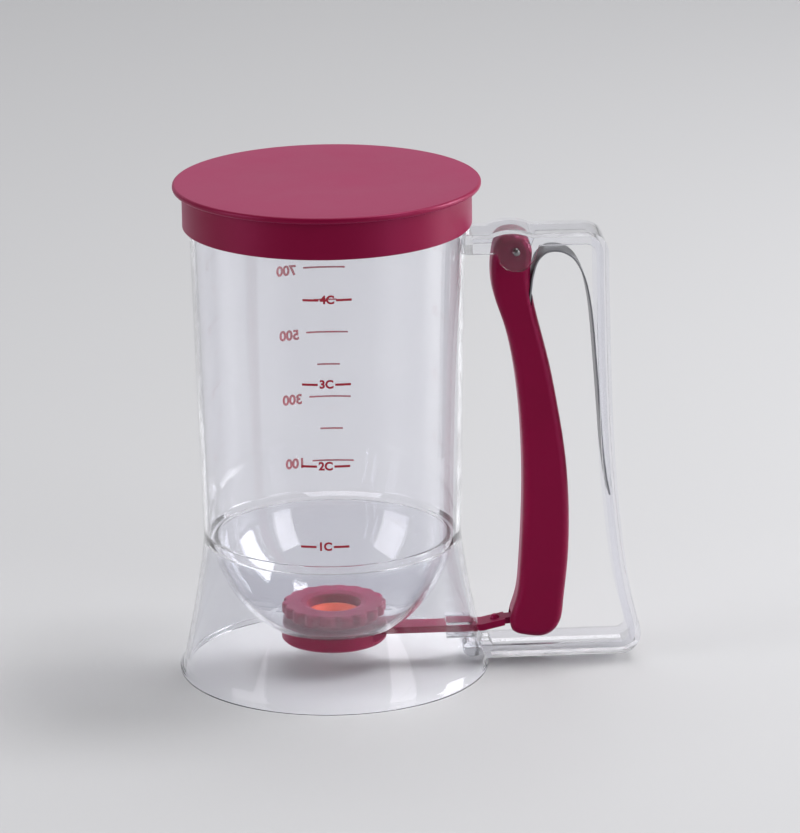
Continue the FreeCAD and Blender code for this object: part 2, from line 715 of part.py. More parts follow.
bore = new_sketch(lever, "trigger_bore_outline", "XZ_Plane")
bore_index = bore.addGeometry(Part.Circle(flat(eye), Vector(0, 0, 1), 1.6), False)
fix_point(bore, bore_index, 3, eye)
bore_size = Sketcher.Constraint("Diameter", bore_index, S["pin_diameter"].value + 0.3)
bore_number = bore.addConstraint(bore_size)
bore.setExpression("Constraints[%d]" % bore_number, "Sizes.pin_diameter + 2 * Sizes.pin_gap")
bore_cut = pocket(lever, bore, "trigger_bore", S["trigger_width"] + 4)
lever.Tip = bore_cut

# Leaf spring

strip = new_body("leaf_spring")
strip_outline = new_sketch(strip, "strip_outline", "XZ_Plane")
strip_places = [
    (4.6, 21.4), (5.4, 15.5), (6.1, 10.2), (8.0, 4.3), (11.3, 1.0), (15.2, 0.3), (19.2, 1.3),
    (23.2, 4.6), (26.6, 11.8), (28.7, 21.9), (29.8, 31.9), (30.5, 41.0), (31.3, 52.0),
    (32.2, 65.0), (33.2, 79.0), (34.5, 90.0), (35.9, 98.0),
]
strip_out = spline([lever_place(out, drop) for out, drop in strip_places])
strip_in = inset(strip_out, S["spring_gauge"].value, 33)
strip_pieces = [
    strip_out,
    Part.LineSegment(strip_out.EndPoint, strip_in.EndPoint),
    strip_in,
    Part.LineSegment(strip_in.StartPoint, strip_out.StartPoint),
]
for piece in strip_pieces:
    strip_outline.addGeometry(piece, False)
strip_pad = pad(strip, strip_outline, "strip", "spring_width")

# Slide arm

arm = new_body("slide_arm")
arm_side = new_sketch(arm, "arm_outline", "XZ_Plane")
arm_top = S["arm_under"] + S["arm_gauge"]
draw_chain(arm_side, (S["plate_front"] - 2, "arm_under"), [
    ("line", (S["hook_x"] - 14.5, "arm_under")),
    ("line", (S["hook_x"] - 6.1, S["hook_z"] - S["arm_gauge"] / 2 - 0.6)),
    ("line", (S["hook_x"] - 6.1, S["hook_z"] + S["arm_gauge"] / 2 - 0.6)),
    ("line", (S["hook_x"] - 15.1, arm_top)),
    ("line", (S["plate_front"] - 2, arm_top)),
    ("line", (S["plate_front"] - 2, "arm_under")),
])
arm_bar = pad(arm, arm_side, "arm_bar", "arm_width")
tip_side = new_sketch(arm, "neck_outline", "XZ_Plane")
neck_start = S["hook_x"] - 7.3
draw_chain(tip_side, (neck_start, S["hook_z"] - S["arm_gauge"] / 2 - 0.7), [
    ("line", (S["hook_x"] + 0.2, S["hook_z"] - S["arm_gauge"] / 2)),
    ("line", (S["hook_x"] + 0.2, S["hook_z"] + S["arm_gauge"] / 2)),
    ("line", (neck_start, S["hook_z"] + S["arm_gauge"] / 2 - 0.7)),
    ("line", (neck_start, S["hook_z"] - S["arm_gauge"] / 2 - 0.7)),
])
arm_neck = pad(arm, tip_side, "arm_neck", "neck_width")
bar_side = new_sketch(arm, "cross_bar_outline", "XZ_Plane")
bar_round = Part.Circle(flat(("hook_x", "hook_z")), Vector(0, 0, 1), S["hook_radius"].value)
bar_index = bar_side.addGeometry(bar_round, False)
fix_point(bar_side, bar_index, 3, ("hook_x", "hook_z"))
bar_size = Sketcher.Constraint("Radius", bar_index, S["hook_radius"].value)
bar_number = bar_side.addConstraint(bar_size)
bar_side.setExpression("Constraints[%d]" % bar_number, "Sizes.hook_radius")
cross_bar = pad(arm, bar_side, "cross_bar", "bar_length")

# Outlet plate: a tongue with a round end, widening from the bar.
plate_sketch = new_sketch(arm, "plate_outline", "XY_Plane")
half_plate = S["plate_width"] / 2
plate_sketch.AttachmentOffset = FreeCAD.Placement(Vector(0, 0, S["arm_under"].value), FreeCAD.Rotation())
plate_sketch.setExpression("AttachmentOffset.Base.z", "Sizes.arm_under")
draw_chain(plate_sketch, (0, -half_plate), [
    ("line", (S["plate_front"] - 3, -half_plate)),
    ("line", (S["plate_front"] + 2.5, -S["arm_width"] / 2)),
    ("line", (S["plate_front"] + 2.5, S["arm_width"] / 2)),
    ("line", (S["plate_front"] - 3, half_plate)),
    ("line", (0, half_plate)),
    ("arc", (0, -half_plate), (0, 0), 1),
])
plate = pad(arm, plate_sketch, "outlet_plate", "arm_gauge", False)
arm.Tip = plate
knob = doc.addObject("Part::Sphere", "arm_knob")
knob.Radius = 1.9
knob.setExpression("Placement.Base.x", (S["hook_x"] - 9.7).text)
knob.setExpression("Placement.Base.z", (S["hook_z"] - 0.3).text)
slide = doc.addObject("Part::Fuse", "slide_arm_knobbed")
slide.Base = arm
slide.Tool = knob
doc.recompute()

# Valve housing

housing = new_body("valve_housing")
housing_outline = new_sketch(housing, "housing_outline", "XZ_Plane")
seal_room = S["seal_radius"] + S["seal_gap"]
flange_top = S["bowl_floor"] - S["bond_gap"]
draw_chain(housing_outline, ("pour_radius", "housing_under"), [
    ("line", (S["housing_radius"] - 0.8, "housing_under")),
    ("line", ("housing_radius", S["housing_under"] + 0.8)),
    ("line", ("housing_radius", flange_top)),
    ("line", ("spigot_radius", flange_top)),
    ("line", ("spigot_radius", S["spigot_top"] - 0.5)),
    ("line", (S["spigot_radius"] - 0.5, "spigot_top")),
    ("line", (seal_room, "spigot_top")),
    ("line", (seal_room, 14.0)),
    ("line", ("pour_radius", 14.0)),
    ("line", ("pour_radius", "housing_under")),
])
housing_solid = revolve(housing, housing_outline, "housing_solid")
track = new_sketch(housing, "track_outline", "XZ_Plane")
box_outline(track, -(S["plate_back"] + 0.8), S["housing_radius"] + 4, S["arm_under"] - 0.1, arm_top + 0.1)
track_cut = pocket(housing, track, "plate_track", S["plate_width"] + 0.8)
notch = new_sketch(housing, "notch_outline", "XZ_Plane")
box_outline(notch, 14.2, S["housing_radius"] + 4, S["arm_under"] - 0.1, S["bowl_floor"] + 1)
notch_cut = pocket(housing, notch, "side_notch", 31.0)
housing.Tip = notch_cut

# Seal

seal = new_body("outlet_seal")
seal_outline = new_sketch(seal, "seal_outline", "XZ_Plane")
seal_low = arm_top + S["seal_gap"]
draw_chain(seal_outline, (S["seal_bore"] + 0.4, seal_low), [
    ("line", (S["seal_radius"] - 1.2, seal_low)),
    ("line", ("seal_radius", seal_low + 1.2)),
    ("line", ("seal_radius", S["seal_top"] - 0.6)),
    ("line", (S["seal_radius"] - 0.6, "seal_top")),
    ("line", (S["seal_bore"] + 1.6, "seal_top")),
    ("line", ("seal_bore", S["seal_top"] - 1.8)),
    ("line", ("seal_bore", seal_low + 0.4)),
    ("line", (S["seal_bore"] + 0.4, seal_low)),
])
seal_solid = revolve(seal, seal_outline, "seal_solid")

# Collar

collar = new_body("valve_collar")
collar_outline = new_sketch(collar, "collar_outline", "XZ_Plane")
collar_bore = S["spigot_radius"] + S["thread_gap"]
collar_low = floor_top + S["bond_gap"]
draw_chain(collar_outline, (collar_bore, collar_low), [
    ("line", (S["collar_waist"] - 0.4, collar_low)),
    ("line", ("collar_waist", collar_low + 0.4)),
    ("line", ("collar_waist", collar_low + 1.3)),
    ("line", ("collar_radius", collar_low + 1.9)),
    ("line", ("collar_radius", S["collar_top"] - 1.1)),
    ("line", (S["collar_radius"] - 1.1, "collar_top")),
    ("line", ("seal_radius", "collar_top")),
    ("line", ("seal_radius", S["spigot_top"] + 0.15)),
    ("line", (collar_bore, S["spigot_top"] + 0.15)),
    ("line", (collar_bore, collar_low)),
])
collar_solid = revolve(collar, collar_outline, "collar_solid")
scallop_outline = new_sketch(collar, "scallop_outline", "XY_Plane")
scallop_outline.AttachmentOffset = FreeCAD.Placement(Vector(0, 0, S["collar_top"].value + 1),
                                                     FreeCAD.Rotation())
scallop_outline.setExpression("AttachmentOffset.Base.z", "Sizes.collar_top + 1")
scallop_index = scallop_outline.addGeometry(
    Part.Circle(Vector(S["collar_radius"].value + 1.2, 0, 0), Vector(0, 0, 1), 2.2), False)
fix_point(scallop_outline, scallop_index, 3, (S["collar_radius"] + 1.2, 0))
scallop_outline.addConstraint(Sketcher.Constraint("Radius", scallop_index, 2.3))
scallop = collar.newObject("PartDesign::Pocket", "scallop")
scallop.Profile = scallop_outline
scallop.Type = "Length"
scallop.Length = 9.0
doc.recompute()
lobes = collar.newObject("PartDesign::PolarPattern", "lobes")
lobes.Originals = [scallop]
lobes.Axis = (scallop_outline, ["N_Axis"])
lobes.Angle = 360.0
lobes.Occurrences = int(S["lobe_count"].value)
collar.Tip = lobes
doc.recompute()

# Lid

lid = new_body("lid")
lid_outline = new_sketch(lid, "lid_outline", "XZ_Plane")
lid_in = S["lid_skirt"] - S["lid_wall"]
ceiling = S["lid_top"] - S["lid_gauge"]
plug = S["rim_radius"] - S["jug_wall"] - S["lid_gap"]
edge_round = (S["lid_gauge"] + 0.2) / 2
draw_chain(lid_outline, (0, "lid_top"), [
    ("line", (0, ceiling)),
    ("line", (plug - 1.5, ceiling)),
    ("line", (plug - 1.3, ceiling - 6.6)),
    ("line", (plug - 0.3, ceiling - 6.6)),
    ("line", (plug, ceiling - 6.0)),
    ("line", (plug, ceiling)),
    ("line", (lid_in, ceiling)),
    ("line", (lid_in, S["lid_bottom"] + 0.3)),
    ("line", (lid_in + 0.3, "lid_bottom")),
    ("line", (S["lid_skirt"] - 0.4, "lid_bottom")),
    ("line", ("lid_skirt", S["lid_bottom"] + 0.4)),
    ("line", ("lid_skirt", ceiling - 0.2)),
    ("line", (S["lid_flange"] - edge_round, ceiling - 0.2)),
    ("arc", (S["lid_flange"] - edge_round, "lid_top"),
     (S["lid_flange"] - edge_round, S["lid_top"] - edge_round), 1),
    ("line", (0, "lid_top")),
])
lid_solid = revolve(lid, lid_outline, "lid_solid")

# Labels and files

doc.recompute()
PIECES = [
    ("jug_body", jug), ("handle_frame", frame), ("pivot_pin", pivot), ("trigger", lever),
    ("leaf_spring", strip), ("slide_arm", slide), ("valve_housing", housing),
    ("outlet_seal", seal), ("valve_collar", collar), ("lid", lid),
]
arm.Label = "slide_arm_plain"
for name, item in PIECES:
    item.Label = name
doc.recompute()

faults = []
for item in doc.Objects:
    state = list(item.State)
    if "Invalid" in state or "Error" in state:
        faults.append("%s: %s %s" % (item.Name, state, item.getStatusString()))
for name, item in PIECES:
    shape = item.Shape
    if shape.isNull() or not shape.isValid():
        faults.append("%s: bad shape" % name)
    elif len(shape.Solids) != 1:
        faults.append("%s: %d solids" % (name, len(shape.Solids)))
if faults:
    raise RuntimeError("\n".join(faults))

os.makedirs("parts", exist_ok=True)
for name, item in PIECES:
    item.Shape.exportStep("parts/%s.step" % name)
    box = item.Shape.BoundBox
    print("%-14s %8.1f mm3  x %7.2f %7.2f  y %7.2f %7.2f  z %7.2f %7.2f" % (
        name, item.Shape.Volume, box.XMin, box.XMax, box.YMin, box.YMax, box.ZMin, box.ZMax))
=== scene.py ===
# %% [markdown]
# This lesson dresses a pancake batter dispenser: a clear jug with a raspberry lid, a squeeze
# trigger in a clear channel handle, and an outlet with a sliding plate under a round bowl.
# The solids come packed as a frame. We keep that frame untouched and put finished pieces
# around it: smoother curves, softened edges, printed scales and believable plastics.

# %% The frame comes first
import math
import bpy
from mathutils import Matrix, Vector


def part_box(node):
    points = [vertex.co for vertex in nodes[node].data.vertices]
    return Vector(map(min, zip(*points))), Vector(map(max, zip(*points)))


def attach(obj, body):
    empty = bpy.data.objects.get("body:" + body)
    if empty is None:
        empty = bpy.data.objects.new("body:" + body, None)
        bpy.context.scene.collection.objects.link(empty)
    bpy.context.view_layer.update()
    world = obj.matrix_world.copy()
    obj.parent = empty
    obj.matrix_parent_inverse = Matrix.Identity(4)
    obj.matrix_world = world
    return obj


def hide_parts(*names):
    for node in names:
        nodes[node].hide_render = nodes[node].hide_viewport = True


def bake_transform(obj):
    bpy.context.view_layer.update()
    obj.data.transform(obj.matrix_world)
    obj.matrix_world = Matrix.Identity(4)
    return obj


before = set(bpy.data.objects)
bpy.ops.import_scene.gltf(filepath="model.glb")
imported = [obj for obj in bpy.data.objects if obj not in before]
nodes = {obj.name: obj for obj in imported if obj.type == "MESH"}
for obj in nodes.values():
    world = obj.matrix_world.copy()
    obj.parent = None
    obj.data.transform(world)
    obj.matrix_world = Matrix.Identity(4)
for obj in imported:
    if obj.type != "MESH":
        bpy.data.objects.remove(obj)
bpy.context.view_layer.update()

MM = 0.001
print("nodes in the frame:", sorted(nodes))

# %% [markdown]
# Heights and radii are kept in millimetres, as on a maker's drawing, and turned into metres
# only where a mesh is made. The few sizes that the frame knows are read from it, so a change
# there reaches this file.


# %% Sizes read from the frame
def top_of(node):
    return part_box(node)[1][2] / MM


def bottom_of(node):
    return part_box(node)[0][2] / MM


RIM_TOP = top_of("jug_body")
FOOT_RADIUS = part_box("jug_body")[1][0] / MM
LID_TOP = top_of("lid")
LID_BOTTOM = bottom_of("lid")
COLLAR_TOP = top_of("valve_collar")
SEAL_TOP = top_of("outlet_seal")
SEAL_BOTTOM = bottom_of("outlet_seal")
print("rim %.1f mm, foot radius %.1f mm, lid top %.1f mm" % (RIM_TOP, FOOT_RADIUS, LID_TOP))

# %% Sizes of the jug that the frame cannot tell
WALL = 2.0
RIM_RADIUS = 52.6
NECK_RADIUS = 49.6
NECK_HEIGHT = 54.2
BOWL_RADIUS = 46.3
BOWL_CENTRE = 57.0
BOWL_FLOOR = 17.5
WEB_UNDER = 52.0
LEDGE_RISE = 1.2
OUTLET_HOLE = 13.6

# %% [markdown]
# Operators act on whatever is selected, and the frame arrives selected. So every new piece
# starts with nothing selected, and ends with its place in its mesh and its object at the origin.


# %% Helpers for working with operators
def deselect():
    if bpy.context.object and bpy.context.object.mode != "OBJECT":
        bpy.ops.object.mode_set(mode="OBJECT")
    bpy.ops.object.select_all(action="DESELECT")


def work_on(piece):
    """Makes one object the selected and active one."""
    deselect()
    piece.select_set(True)
    bpy.context.view_layer.objects.active = piece


def settle(piece):
    """Puts the object at the origin, unturned and unscaled, with its place in its mesh."""
    work_on(piece)
    bpy.ops.object.transform_apply(location=True, rotation=True, scale=True)


def close_and_face_out(piece, gap=0.002):
    """Merges points that meet, and turns all faces outwards."""
    work_on(piece)
    bpy.ops.object.mode_set(mode="EDIT")
    bpy.ops.mesh.select_all(action="SELECT")
    bpy.ops.mesh.remove_doubles(threshold=gap * MM)
    bpy.ops.mesh.normals_make_consistent(inside=False)
    bpy.ops.object.mode_set(mode="OBJECT")


def apply_modifier(piece, kind, **settings):
    """Adds a modifier, sets it up and applies it."""
    work_on(piece)
    modifier = piece.modifiers.new(kind.title(), kind)
    for key, value in settings.items():
        setattr(modifier, key, value)
    bpy.ops.object.modifier_apply(modifier=modifier.name)


def smooth(piece, degrees=35):
    """Shades a piece smooth, with its large faces deciding the direction of the light."""
    work_on(piece)
    bpy.ops.object.shade_smooth_by_angle(angle=math.radians(degrees))
    apply_modifier(piece, "WEIGHTED_NORMAL", weight=50, keep_sharp=True)


def measure(piece):
    size = piece.dimensions / MM
    print("%-16s %6.1f x %6.1f x %6.1f mm, %d faces"
          % (piece.name, size.x, size.y, size.z, len(piece.data.polygons)))


# %% [markdown]
# The jug, lid, collar, seal and pin are round, so they are turned as on a lathe: a circle is
# added and then extruded, scaled and lifted from one ring of the profile to the next. A
# screw modifier would give the same shape, but extruding ring by ring shows what happens.
# Mould makers never leave a sharp corner, so each corner of a profile carries its own radius.


# %% Profiles with rounded corners
def rounded(profile, steps=5):
    """Replaces each corner (radius, height, round) of a closed profile by a small arc."""
    points = []
    count = len(profile)
    for i, (x, y, round_by) in enumerate(profile):
        corner = Vector((x, y))
        if round_by == 0:
            points.append((x, y))
            continue
        before = (Vector(profile[i - 1][:2]) - corner).normalized()
        after = (Vector(profile[(i + 1) % count][:2]) - corner).normalized()
        half = before.angle(after) / 2
        reach = round_by / math.tan(half)
        centre = corner + (before + after).normalized() * round_by / math.sin(half)
        start = (corner + before * reach - centre).normalized()
        end = (corner + after * reach - centre).normalized()
        for step in range(steps + 1):
            spoke = start.slerp(end, step / steps)
            points.append(tuple(centre + spoke * round_by))
    return points


def bowl_arc(radius, low, high, steps=22):
    """Points on the bowl's round wall, from one height to another."""
    first = math.asin((low - BOWL_CENTRE) / radius)
    last = math.asin((high - BOWL_CENTRE) / radius)
    arc = []
    for step in range(steps + 1):
        angle = first + (last - first) * step / steps
        arc.append((radius * math.cos(angle), BOWL_CENTRE + radius * math.sin(angle), 0))
    return arc


# %% The lathe
def turn_on_lathe(name, points, segments=192):
    """Turns a closed profile of (radius, height) points into a shell round the Z axis."""
    deselect()
    radius, height = points[0]
    bpy.ops.mesh.primitive_circle_add(vertices=segments, radius=radius * MM,
                                      location=(0, 0, height * MM))
    piece = bpy.context.object
    piece.name = name
    bpy.ops.object.mode_set(mode="EDIT")
    bpy.ops.mesh.select_all(action="SELECT")
    for (r0, z0), (r1, z1) in zip(points, points[1:] + points[:1]):
        lift = (0, 0, (z1 - z0) * MM)
        bpy.ops.mesh.extrude_region_move(TRANSFORM_OT_translate={"value": lift})
        widen = r1 / r0
        bpy.ops.transform.resize(value=(widen, widen, 1), center_override=(0, 0, z1 * MM))
    bpy.ops.object.mode_set(mode="OBJECT")
    settle(piece)
    close_and_face_out(piece)
    return piece


# %% [markdown]
# The jug is one clear moulding: a drafted cylinder above, a round-bottomed bowl that hangs
# inside, and a flared skirt that carries it all. A thin web joins the bowl to the wall where
# cylinder and skirt meet. The skirt's flare follows a power curve, steeper towards the foot.


# %% Profile of the jug
SKIRT_FLARE = 9.4
SKIRT_POWER = 1.22
SKIRT_TOP = NECK_HEIGHT - 1.6
SKIRT_START = 3.4
FOOT_HEIGHT = 1.8


def skirt_radius(height):
    return NECK_RADIUS + SKIRT_FLARE * (1 - height / SKIRT_TOP) ** SKIRT_POWER


skirt_steps = 18
skirt_climb = WEB_UNDER - 5.0
skirt_heights = [SKIRT_START + skirt_climb * i / skirt_steps for i in range(skirt_steps + 1)]
outside_skirt = [(skirt_radius(z), z, 0) for z in skirt_heights]
inside_skirt = [(skirt_radius(z) - WALL, z, 0) for z in reversed(skirt_heights)]
bowl_inside = BOWL_RADIUS - WALL

jug_profile = (
    [(OUTLET_HOLE, BOWL_FLOOR, 0.3)]
    + bowl_arc(BOWL_RADIUS, BOWL_FLOOR, WEB_UNDER)
    + [(NECK_RADIUS - WALL + 0.2, WEB_UNDER, 0.5)]
    + inside_skirt
    + [(FOOT_RADIUS - WALL, 0, 0.4), (FOOT_RADIUS, 0, 0.7), (FOOT_RADIUS, FOOT_HEIGHT, 0.5)]
    + outside_skirt
    + [(NECK_RADIUS, NECK_HEIGHT, 1.0),
       (RIM_RADIUS, RIM_TOP, 0.5), (RIM_RADIUS - WALL, RIM_TOP, 0.5),
       (NECK_RADIUS - WALL + 0.05, NECK_HEIGHT + LEDGE_RISE, 1.0)]
    + list(reversed(bowl_arc(bowl_inside, BOWL_FLOOR + WALL, NECK_HEIGHT)))
    + [(OUTLET_HOLE, BOWL_FLOOR + WALL, 0.3)]
)

# %% Turn the jug
jug = turn_on_lathe("jug_shell", rounded(jug_profile))
measure(jug)

# %% [markdown]
# The skirt is pierced twice under the handle: a flat slot with a short guide tunnel for the
# slide arm, and below it a window for the handle's tongue. The tunnel is a block joined to
# the skirt, and both holes are then cut through with boxes.


# %% A box between two corners
def block(name, low, high, bevel=0.0):
    """A box from one corner to the other, in mm, with its edges rounded if asked."""
    deselect()
    middle = [(a + b) / 2 * MM for a, b in zip(low, high)]
    bpy.ops.mesh.primitive_cube_add(size=1, location=middle)
    piece = bpy.context.object
    piece.name = name
    piece.scale = [(b - a) * MM for a, b in zip(low, high)]
    settle(piece)
    if bevel:
        bpy.ops.object.mode_set(mode="EDIT")
        bpy.ops.mesh.select_all(action="SELECT")
        bpy.ops.mesh.bevel(offset=bevel * MM, segments=3, affect="EDGES")
        bpy.ops.object.mode_set(mode="OBJECT")
    return piece


def combine(piece, tool, operation):
    """Joins, cuts or keeps the overlap with a tool, which is then removed."""
    apply_modifier(piece, "BOOLEAN", object=tool, operation=operation, solver="EXACT")
    bpy.data.objects.remove(tool)


# %% Tunnel, slot and window
ARM_UNDER = 12.8
ARM_TOP = 15.4
ARM_WIDTH = 9.0
SLIDE_GAP = 0.4
GUIDE_WALL = 1.5
GUIDE_INNER_END = 43.0
TONGUE_UNDER = 3.4
TONGUE_TOP = 9.4
TONGUE_WIDTH = 13.2
TONGUE_GAP = 0.1
# The cutting boxes reach this far past what they cut.
beyond = 3.0
slot_half = ARM_WIDTH / 2 + SLIDE_GAP
guide_half = slot_half + 1.8
guide_rise = SLIDE_GAP + GUIDE_WALL
tunnel_low = (GUIDE_INNER_END, -guide_half, ARM_UNDER - guide_rise)
tunnel_high = (FOOT_RADIUS - 4.9, guide_half, ARM_TOP + guide_rise)
combine(jug, block("tunnel", tunnel_low, tunnel_high, 0.5), "UNION")
slot_low = (GUIDE_INNER_END - beyond, -slot_half, ARM_UNDER - SLIDE_GAP)
slot_high = (FOOT_RADIUS + beyond, slot_half, ARM_TOP + SLIDE_GAP)
combine(jug, block("arm_slot", slot_low, slot_high), "DIFFERENCE")
window_half = TONGUE_WIDTH / 2 + TONGUE_GAP
window_low = (FOOT_RADIUS - 8.8, -window_half, TONGUE_UNDER - TONGUE_GAP)
window_high = (FOOT_RADIUS + beyond, window_half, TONGUE_TOP + TONGUE_GAP)
combine(jug, block("tongue_window", window_low, window_high), "DIFFERENCE")
smooth(jug)
measure(jug)

# %% [markdown]
# The lid is a plain press-on cap. A low plug ring keeps it centred inside the rim, a skirt
# grips outside, and a wider flange gives the fingers an edge to lift. Its top sinks by a
# few tenths of a millimetre towards the middle, as a flat moulding does when it cools.

# %% Turn the lid
LID_FLANGE = 58.3
LID_SKIRT = 54.8
LID_WALL = 1.6
LID_GAUGE = 2.1
PLUG_DEPTH = 6.6
PLUG_WALL = 1.4
ceiling = LID_TOP - LID_GAUGE
plug = RIM_RADIUS - WALL - 0.5
plug_end = ceiling - PLUG_DEPTH
# A turned profile can't reach the axis, so a full disc starts this near to it.
tiny = 0.02
lid_profile = [
    (tiny, LID_TOP - 0.35, 0), (20.0, LID_TOP - 0.28, 0), (40.0, LID_TOP - 0.08, 0),
    (50.0, LID_TOP, 0), (LID_FLANGE, LID_TOP, 1.0), (LID_FLANGE, ceiling - 0.2, 0.9),
    (LID_SKIRT, ceiling - 0.2, 0.6), (LID_SKIRT, LID_BOTTOM, 0.5),
    (LID_SKIRT - LID_WALL, LID_BOTTOM, 0.5), (LID_SKIRT - LID_WALL, ceiling, 0.4),
    (plug, ceiling, 0.3), (plug, plug_end, 0.4), (plug - PLUG_WALL, plug_end, 0.4),
    (plug - PLUG_WALL - 0.1, ceiling, 0.5), (tiny, ceiling, 0),
]
lid = turn_on_lathe("lid_cap", rounded(lid_profile))
close_and_face_out(lid, gap=0.06)
smooth(lid, 40)
measure(lid)

# %% [markdown]
# Inside the bowl sits the ring nut that clamps the outlet. Its edge has lobes for the fingers.
# It is turned first, with a multiple of the lobe count round its rim, and the rings of its
# flange are then drawn inwards between the lobes.

# %% Turn the collar and shape its lobes
LOBES = 18
COLLAR_RADIUS = 20.2
COLLAR_WAIST = 17.8
SEAL_RADIUS = 10.5
collar_low = BOWL_FLOOR + WALL + 0.05
collar_profile = [
    (OUTLET_HOLE, collar_low, 0.3), (COLLAR_WAIST, collar_low, 0.4),
    (COLLAR_WAIST, collar_low + 1.5, 0.3), (COLLAR_RADIUS, collar_low + 1.9, 0.5),
    (COLLAR_RADIUS, COLLAR_TOP, 1.1), (SEAL_RADIUS + 2.2, COLLAR_TOP, 0.5),
    (SEAL_RADIUS, COLLAR_TOP - 0.7, 0.3), (SEAL_RADIUS, COLLAR_TOP - 1.1, 0),
    (OUTLET_HOLE, COLLAR_TOP - 1.1, 0),
]
collar = turn_on_lathe("collar_nut", rounded(collar_profile), segments=LOBES * 14)
lobe_depth = 1.5
for vertex in collar.data.vertices:
    x, y, z = vertex.co
    radius = math.hypot(x, y) / MM
    if radius < COLLAR_WAIST + 0.2:
        continue
    turn = math.atan2(y, x) * LOBES
    pinch = lobe_depth * (0.5 - 0.5 * math.cos(turn)) ** 2
    share = (radius - COLLAR_WAIST) / (COLLAR_RADIUS - COLLAR_WAIST)
    vertex.co.x *= 1 - pinch * share / radius
    vertex.co.y *= 1 - pinch * share / radius
smooth(collar, 40)
measure(collar)

# %% [markdown]
# The seal is a soft orange ring that the sliding plate closes from below. Its mouth is
# countersunk so that batter runs in. A thin lip at the bottom wipes the plate.

# %% Turn the seal
SEAL_BORE = 7.0
seal_profile = [
    (SEAL_BORE, SEAL_BOTTOM, 0.3), (SEAL_RADIUS - 1.2, SEAL_BOTTOM, 0.3),
    (SEAL_RADIUS, SEAL_BOTTOM + 1.2, 0.4), (SEAL_RADIUS, SEAL_TOP, 0.6),
    (SEAL_BORE + 1.8, SEAL_TOP, 0.6), (SEAL_BORE, SEAL_TOP - 2.0, 0.8),
]
seal = turn_on_lathe("seal_ring", rounded(seal_profile), segments=96)
smooth(seal, 40)
measure(seal)

# %% [markdown]
# The pin is turned upright and then laid along Y through the ears. Its near end is a low
# dome, which catches a highlight in the middle of the trigger's head.

# %% Turn the pin
PIVOT = Vector((71.0, 0.0, 165.0))
PIN_RADIUS = 1.3
PIN_HEAD = 1.4
pin_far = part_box("pivot_pin")[1][1] / MM
pin_near = -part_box("pivot_pin")[0][1] / MM
pin_profile = [
    (tiny, -pin_far, 0), (PIN_RADIUS, -pin_far, 0.3), (PIN_RADIUS, pin_near - 0.75, 0),
    (PIN_HEAD, pin_near - 0.75, 0.1), (PIN_HEAD - 0.1, pin_near - 0.45, 0.2),
    (PIN_HEAD - 0.6, pin_near - 0.12, 0.3), (0.5, pin_near - 0.02, 0), (tiny, pin_near, 0),
]
pin = turn_on_lathe("pin_domed", rounded(pin_profile), segments=48)
close_and_face_out(pin, gap=0.06)
pin.data.transform(Matrix.Rotation(math.radians(90), 4, "X"))
pin.data.transform(Matrix.Translation(PIVOT * MM))
smooth(pin, 40)
measure(pin)

# %% [markdown]
# The handle, trigger, slide arm and valve housing already have their full form in the frame.
# The frame's own meshes stay as they are, so each is copied: the copy's loose triangles are
# merged, flat areas are made whole again, and a fine bevel softens the edges so that they
# catch light as moulded plastic does.


# %% Finished copies of solids from the frame
def softened_copy(node, name, bevel, segments=3):
    source = nodes[node]
    piece = source.copy()
    piece.data = source.data.copy()
    piece.name = name
    piece.parent = None
    piece.matrix_world = source.matrix_world.copy()
    bpy.context.scene.collection.objects.link(piece)
    piece.data.materials.clear()
    settle(piece)
    bpy.ops.object.mode_set(mode="EDIT")
    bpy.ops.mesh.select_all(action="SELECT")
    bpy.ops.mesh.remove_doubles(threshold=0.004 * MM)
    bpy.ops.mesh.dissolve_limited(angle_limit=math.radians(0.5))
    bpy.ops.object.mode_set(mode="OBJECT")
    if bevel:
        apply_modifier(piece, "BEVEL", width=bevel * MM, segments=segments, limit_method="ANGLE",
                       angle_limit=math.radians(38), use_clamp_overlap=True)
    smooth(piece, 38)
    measure(piece)
    return piece


handle = softened_copy("handle_frame", "handle_channel", 0.45)
trigger = softened_copy("trigger", "trigger_lever", 0.3)
arm = softened_copy("slide_arm", "slide_bar", 0.3)
housing = softened_copy("valve_housing", "valve_cup", 0.25)

# %% [markdown]
# The leaf spring is a strip of steel. One end sits in the back of the trigger, the strip
# arches over and bears down along the inside of the handle. An edge is extruded step by step
# along a smooth path, and a solidify modifier gives it its gauge.


# %% A smooth path through a few points
def smooth_path(points, steps):
    """Points on a Catmull-Rom curve, which passes through every point given."""
    ends = [points[0] * 2 - points[1]] + points + [points[-1] * 2 - points[-2]]
    path = []
    for i in range(1, len(ends) - 2):
        p0, p1, p2, p3 = ends[i - 1:i + 3]
        for step in range(steps):
            t = step / steps
            path.append(0.5 * (2 * p1 + (p2 - p0) * t + (2 * p0 - 5 * p1 + 4 * p2 - p3) * t * t
                               + (3 * p1 - p0 - 3 * p2 + p3) * t * t * t))
    return path + [points[-1]]


